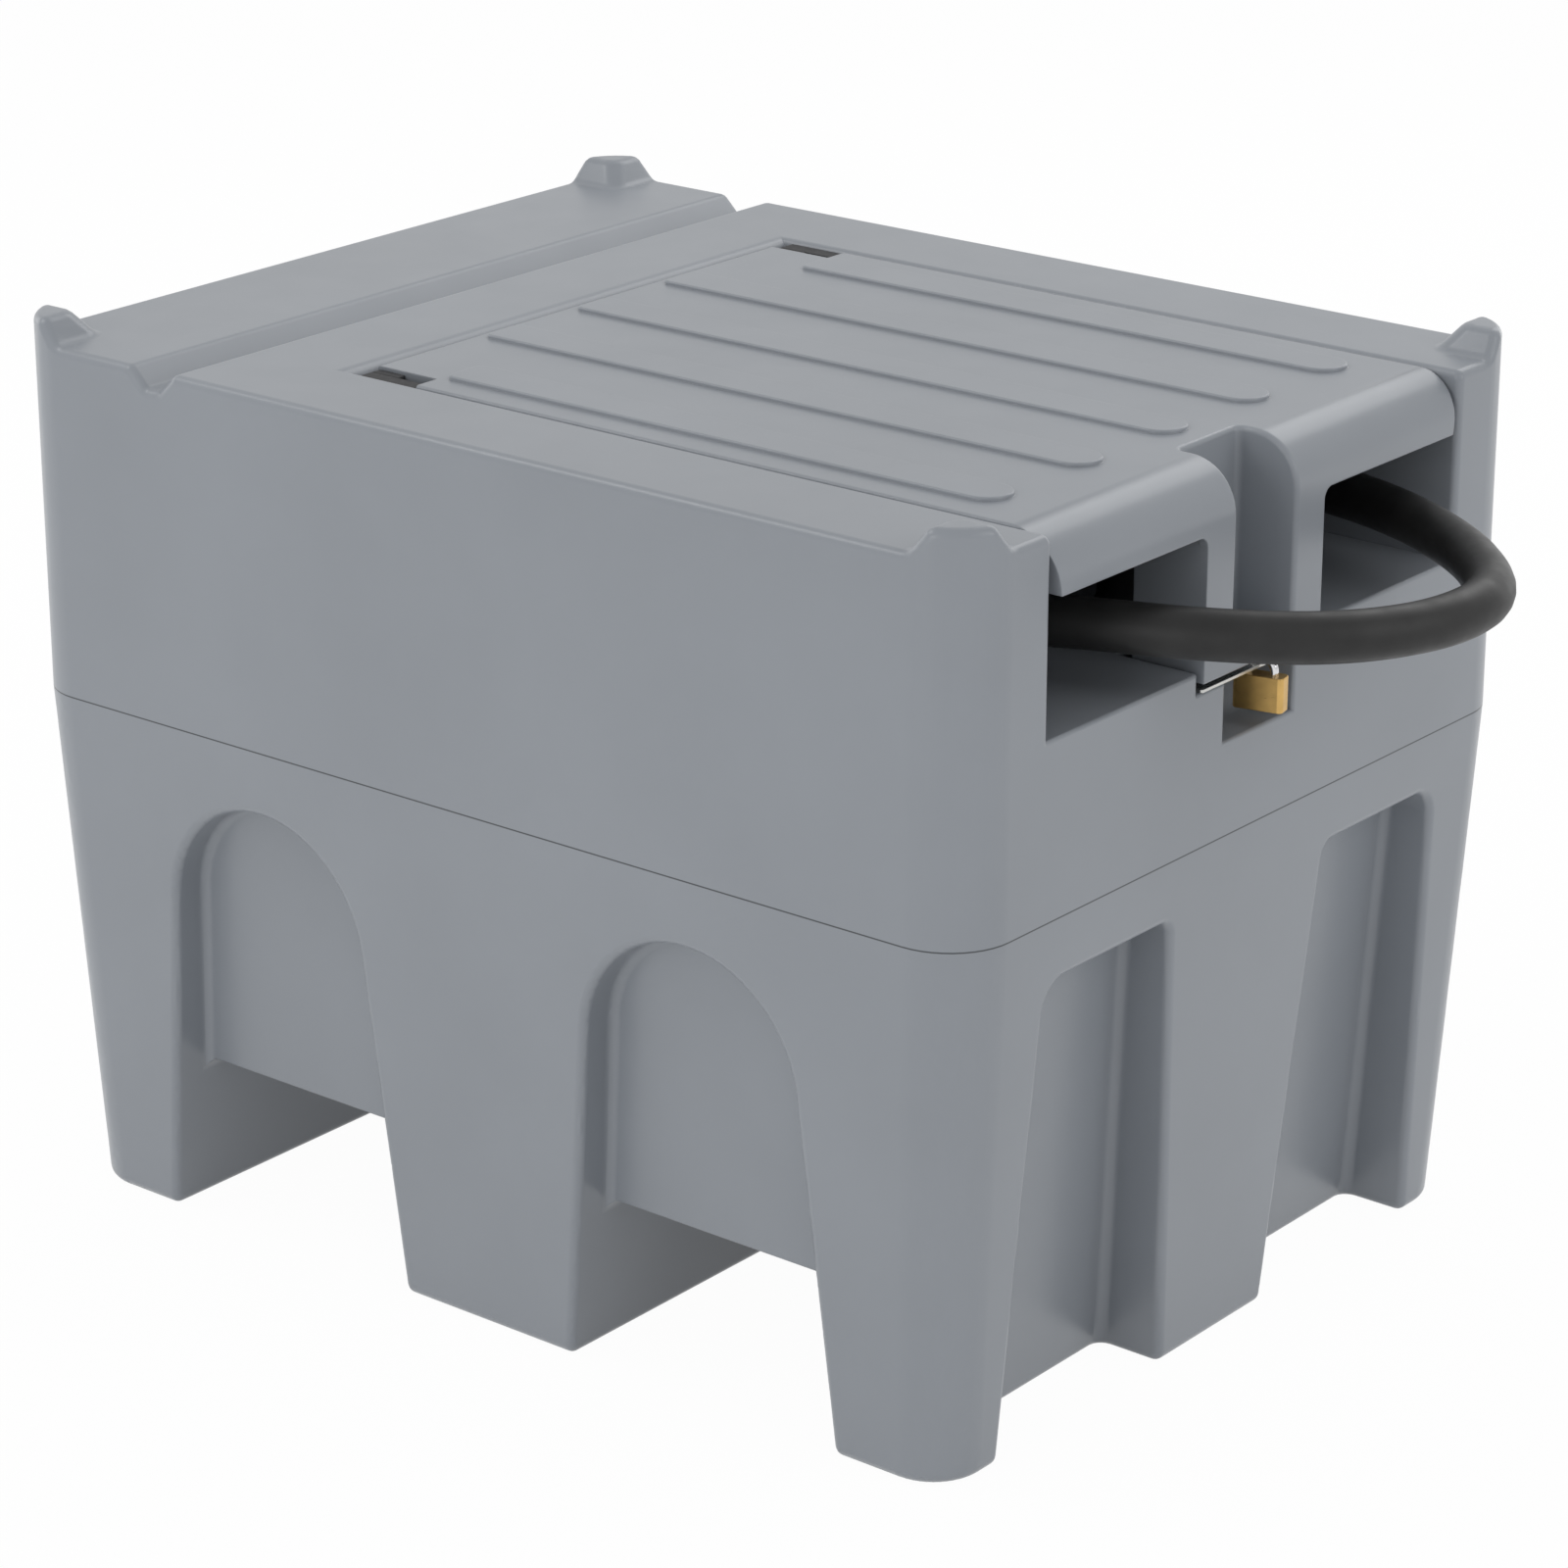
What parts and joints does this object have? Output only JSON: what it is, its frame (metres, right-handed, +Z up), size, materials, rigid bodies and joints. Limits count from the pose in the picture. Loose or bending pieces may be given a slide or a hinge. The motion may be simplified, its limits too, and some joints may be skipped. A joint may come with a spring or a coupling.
{
  "type": "truck bed transfer tank",
  "caption": "Grey moulded fuel transfer tank with fork tunnels, a strap groove, a hinged lid over a pump well, a padlock in the front sill and a delivery hose that loops out of the front.",
  "frame": {"origin": "middle of the underside of the tank, on the surface that it stands on", "axes": "+Z up, +Y along the length towards the strap groove, -Y towards the padlock and hose, +X to the right seen from the front"},
  "size_m": [0.614, 0.9428, 0.628],
  "materials": {
    "grey_polyethylene": "satin, lightly moulded grain",
    "dark_nylon": "matt",
    "black_plastic": "matt",
    "red_plastic": "gloss",
    "black_rubber": "matt, slightly dusty",
    "brass": "fine ground",
    "stainless_steel": "brushed",
    "plated_steel": "bright plated",
    "zinc_steel": "zinc plated",
    "pump_paint": "hammered enamel",
    "motor_paint": "semi-gloss enamel",
    "core_iron": "bare",
    "cast_aluminium": "satin"
  },
  "bodies": {
    "tank": {"tank_body": "grey_polyethylene", "hinge_base_left": "dark_nylon", "hinge_base_right": "dark_nylon", "hinge_pins": "stainless_steel", "hinge_base_screws": "stainless_steel", "lock_plate": "stainless_steel", "lock_plate_screws": "stainless_steel", "padlock_shackle": "plated_steel", "pump_base": "zinc_steel", "pump_base_bolts": "zinc_steel", "pump_body": "pump_paint", "pump_cover": "pump_paint", "pump_cover_bolts": "zinc_steel", "front_bearing": "stainless_steel", "rear_bearing": "stainless_steel", "motor_housing": "motor_paint", "motor_magnets": "core_iron", "motor_end_cap": "motor_paint", "carbon_brushes": "core_iron", "shaft_seal": "black_rubber", "switch_box": "black_plastic", "cable_gland": "black_plastic", "suction_elbow": "brass", "suction_flange": "cast_aluminium", "suction_flange_screws": "stainless_steel", "suction_pipe": "black_plastic", "foot_strainer": "black_plastic", "vent_valve": "black_plastic", "outlet_elbow": "brass", "hose_ferrule_pump": "zinc_steel", "hose_ferrule_nozzle": "zinc_steel", "delivery_hose": "black_rubber", "nozzle_body": "cast_aluminium", "nozzle_trigger_pin": "stainless_steel", "nozzle_guard": "black_plastic", "nozzle_spout": "cast_aluminium", "nozzle_holder": "zinc_steel"},
    "lid": {"lid": "grey_polyethylene", "hinge_leaf_left": "dark_nylon", "hinge_leaf_right": "dark_nylon", "hinge_leaf_screws": "stainless_steel", "lid_buffers": "black_rubber"},
    "padlock": {"padlock_body": "brass"},
    "key_plug": {"padlock_cylinder": "brass"},
    "filler_cap": {"filler_cap": "black_plastic", "filler_gasket": "black_rubber"},
    "rotor": {"motor_shaft": "stainless_steel", "impeller": "brass", "armature": "core_iron"},
    "rocker": {"pump_switch": "red_plastic"},
    "trigger": {"nozzle_trigger": "black_plastic"}
  },
  "joints": [
    {"name": "lid_hinge", "type": "hinge", "parent": "tank", "child": "lid", "pos_m": [0, 0.1555, 0.605], "axis": [-1, 0, 0], "range_deg": [0, 95]},
    {"name": "padlock_release", "type": "slide", "parent": "tank", "child": "padlock", "axis": [0, 0, -1], "range_m": [0, 0.006]},
    {"name": "key_turn", "type": "hinge", "parent": "padlock", "child": "key_plug", "pos_m": [0.003, -0.3985, 0.45], "axis": [0, 0, 1], "range_deg": [0, 90]},
    {"name": "filler_cap_turn", "type": "hinge", "parent": "tank", "child": "filler_cap", "pos_m": [0.072, 0.053, 0.44], "axis": [0, 0, 1], "range_deg": [0, 90]},
    {"name": "rotor_spin", "type": "hinge", "parent": "tank", "child": "rotor", "pos_m": [0, -0.04, 0.482], "axis": [1, 0, 0], "continuous": true},
    {"name": "switch_rock", "type": "hinge", "parent": "tank", "child": "rocker", "pos_m": [0.04, -0.04, 0.556], "axis": [1, 0, 0], "range_deg": [-10, 10]},
    {"name": "trigger_pull", "type": "hinge", "parent": "tank", "child": "trigger", "pos_m": [-0.04, 0.1, 0.522], "axis": [0, 0, 1], "range_deg": [0, 12], "stiffness_Nm_per_rad": 0.5, "springref_deg": -5.73}
  ]
}
